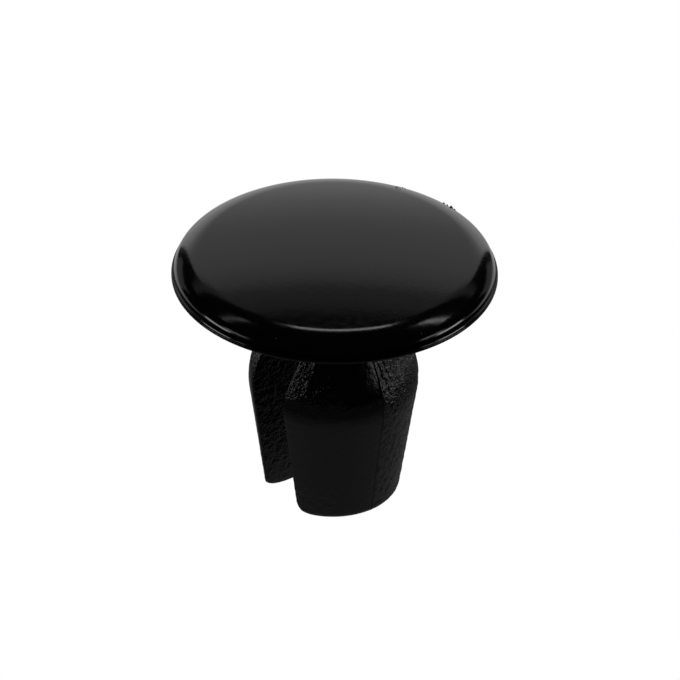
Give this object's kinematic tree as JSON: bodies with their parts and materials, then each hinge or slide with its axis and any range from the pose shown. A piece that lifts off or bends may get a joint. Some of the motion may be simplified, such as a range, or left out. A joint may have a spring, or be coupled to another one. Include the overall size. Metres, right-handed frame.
{
  "type": "hole plug",
  "caption": "Push-in plug for a round panel hole, with a low domed head and a split, bulged shank whose legs spring inward.",
  "frame": {"origin": "on the plug's axis, in the plane of the leg tips it stands on", "axes": "+Z along the shank towards the head, +X along the slot between the legs, +Y from one leg to the other"},
  "size_m": [0.02, 0.02, 0.0175],
  "materials": {
    "plug": "polished head, spark-eroded grain on the legs, black"
  },
  "bodies": {
    "root": {"plug": "plug"}
  },
  "joints": []
}
